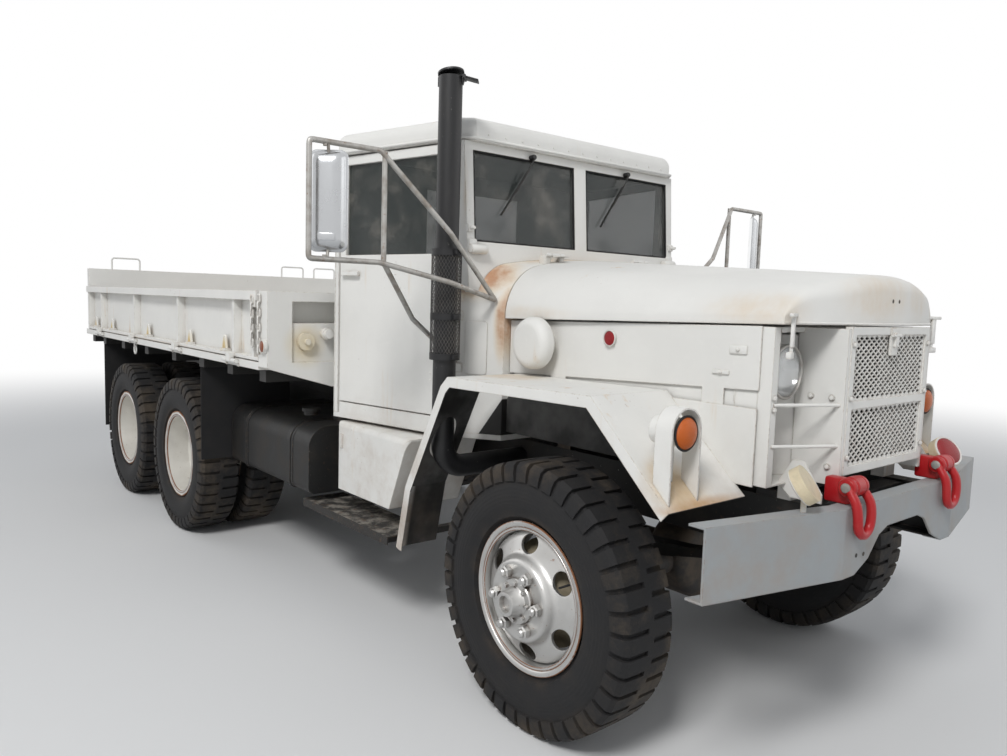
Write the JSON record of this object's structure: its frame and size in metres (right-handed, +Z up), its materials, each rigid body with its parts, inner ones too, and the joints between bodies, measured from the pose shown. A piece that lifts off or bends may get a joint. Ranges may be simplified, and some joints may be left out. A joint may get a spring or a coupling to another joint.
{
  "type": "military cargo truck",
  "caption": "Six-wheel-drive military cargo truck with a hooded nose, hard cab, upright exhaust and a cargo bed with drop sides and a tall tailgate.",
  "frame": {"origin": "on the ground, midway along the length and on the middle line of the truck", "axes": "+X forward, +Y to the truck's left, +Z up"},
  "size_m": [6.6959, 3.026, 2.5495],
  "materials": {
    "weathered_white_paint": "matt weathered",
    "grey_paint": "matt weathered",
    "black_paint": "satin",
    "red_paint": "satin",
    "silver_paint": "satin",
    "bare_steel": "brushed",
    "dark_iron": "rough",
    "tyre_rubber": "matt",
    "black_rubber": "matt",
    "window_glass": "clear",
    "headlight_glass": "clear",
    "lamp_lens": "gloss",
    "seat_canvas": "woven"
  },
  "bodies": {
    "chassis": {"air_tanks": "black_paint", "battery_box": "weathered_white_paint", "bed_floor": "weathered_white_paint", "bogie_axles": "black_paint", "cab_back": "weathered_white_paint", "cab_floor": "weathered_white_paint", "cab_glass": "window_glass", "cab_roof": "weathered_white_paint", "cowl": "weathered_white_paint", "driveline": "black_paint", "engine": "dark_iron", "exhaust_stack": "black_paint", "fender_left": "weathered_white_paint", "fender_right": "weathered_white_paint", "frame_crossmembers": "black_paint", "frame_rails": "black_paint", "front_axle": "black_paint", "front_bumper": "grey_paint", "fuel_tank": "black_paint", "grille": "weathered_white_paint", "headboard": "weathered_white_paint", "headlights": "headlight_glass", "hood_side_panels": "weathered_white_paint", "leaf_springs": "black_paint", "mirrors": "bare_steel", "mudflaps": "black_rubber", "nose_frame": "weathered_white_paint", "radiator": "black_paint", "rear_fittings": "black_paint", "running_boards": "black_paint", "seat_boxes": "grey_paint", "seat_cushions": "seat_canvas", "signal_lamps": "lamp_lens", "tow_shackles": "red_paint", "windshield_frame": "weathered_white_paint"},
    "hood": {"hood": "weathered_white_paint"},
    "door_left": {"door_left": "weathered_white_paint", "door_glass_left": "window_glass"},
    "door_right": {"door_right": "weathered_white_paint", "door_glass_right": "window_glass"},
    "bed_side_left": {"bed_side_left": "weathered_white_paint"},
    "bed_side_right": {"bed_side_right": "weathered_white_paint"},
    "tailgate": {"tailgate": "weathered_white_paint"},
    "knuckle_left": {"knuckle_left": "black_paint"},
    "knuckle_right": {"knuckle_right": "black_paint"},
    "tie_rod": {"tie_rod": "black_paint"},
    "steering_wheel": {"steering_wheel": "black_paint"},
    "front_wheel_left": {"front_tyre_left": "tyre_rubber", "front_wheel_left": "silver_paint"},
    "middle_wheels_left": {"middle_tyres_left": "tyre_rubber", "middle_wheels_left": "silver_paint"},
    "rear_wheels_left": {"rear_tyres_left": "tyre_rubber", "rear_wheels_left": "silver_paint"},
    "front_wheel_right": {"front_tyre_right": "tyre_rubber", "front_wheel_right": "silver_paint"},
    "middle_wheels_right": {"middle_tyres_right": "tyre_rubber", "middle_wheels_right": "silver_paint"},
    "rear_wheels_right": {"rear_tyres_right": "tyre_rubber", "rear_wheels_right": "silver_paint"}
  },
  "joints": [
    {"name": "steer_left", "type": "hinge", "parent": "chassis", "child": "knuckle_left", "pos_m": [2.402, 0.69, 0.505], "axis": [0, 0, 1], "range_deg": [-28, 28]},
    {"name": "steer_right", "type": "hinge", "parent": "chassis", "child": "knuckle_right", "pos_m": [2.402, -0.69, 0.505], "axis": [0, 0, 1], "range_deg": [-28, 28]},
    {"name": "tie_rod_pin", "type": "hinge", "parent": "knuckle_left", "child": "tie_rod", "pos_m": [2.182, 0.69, 0.425], "axis": [0, 0, 1], "range_deg": [-28, 28]},
    {"name": "steering_wheel_turn", "type": "hinge", "parent": "chassis", "child": "steering_wheel", "pos_m": [1.392, 0.4, 1.64], "axis": [-0.663, 0, 0.7486], "range_deg": [-560, 560]},
    {"name": "front_spin_left", "type": "hinge", "parent": "knuckle_left", "child": "front_wheel_left", "pos_m": [2.402, 0.862, 0.505], "axis": [0, 1, 0], "continuous": true},
    {"name": "middle_spin_left", "type": "hinge", "parent": "chassis", "child": "middle_wheels_left", "pos_m": [-0.9005, 0.894, 0.505], "axis": [0, 1, 0], "continuous": true},
    {"name": "rear_spin_left", "type": "hinge", "parent": "chassis", "child": "rear_wheels_left", "pos_m": [-2.1195, 0.894, 0.505], "axis": [0, 1, 0], "continuous": true},
    {"name": "door_left_hinge", "type": "hinge", "parent": "chassis", "child": "door_left", "pos_m": [1.583, 0.73667, 1.42], "axis": [0, 0, -1], "range_deg": [0, 75]},
    {"name": "bed_side_left_hinge", "type": "hinge", "parent": "chassis", "child": "bed_side_left", "pos_m": [-1.243, 1.237, 1.222], "axis": [-1, 0, 0], "range_deg": [0, 180]},
    {"name": "front_spin_right", "type": "hinge", "parent": "knuckle_right", "child": "front_wheel_right", "pos_m": [2.402, -0.862, 0.505], "axis": [0, 1, 0], "continuous": true},
    {"name": "middle_spin_right", "type": "hinge", "parent": "chassis", "child": "middle_wheels_right", "pos_m": [-0.9005, -0.894, 0.505], "axis": [0, 1, 0], "continuous": true},
    {"name": "rear_spin_right", "type": "hinge", "parent": "chassis", "child": "rear_wheels_right", "pos_m": [-2.1195, -0.894, 0.505], "axis": [0, 1, 0], "continuous": true},
    {"name": "door_right_hinge", "type": "hinge", "parent": "chassis", "child": "door_right", "pos_m": [1.583, -0.73667, 1.42], "axis": [0, 0, 1], "range_deg": [0, 75]},
    {"name": "bed_side_right_hinge", "type": "hinge", "parent": "chassis", "child": "bed_side_right", "pos_m": [-1.243, -1.237, 1.222], "axis": [1, 0, 0], "range_deg": [0, 180]},
    {"name": "hood_hinge", "type": "hinge", "parent": "chassis", "child": "hood", "pos_m": [1.785, 0, 1.806], "axis": [0, -1, 0], "range_deg": [0, 60]},
    {"name": "tailgate_hinge", "type": "hinge", "parent": "chassis", "child": "tailgate", "pos_m": [-3.136, 0, 1.222], "axis": [0, -1, 0], "range_deg": [0, 90]}
  ],
  "couplings": [
    {"joint": "steer_right", "follows": "steer_left", "ratio": 1},
    {"joint": "tie_rod_pin", "follows": "steer_left", "ratio": -1},
    {"joint": "steering_wheel_turn", "follows": "steer_left", "ratio": 20}
  ]
}
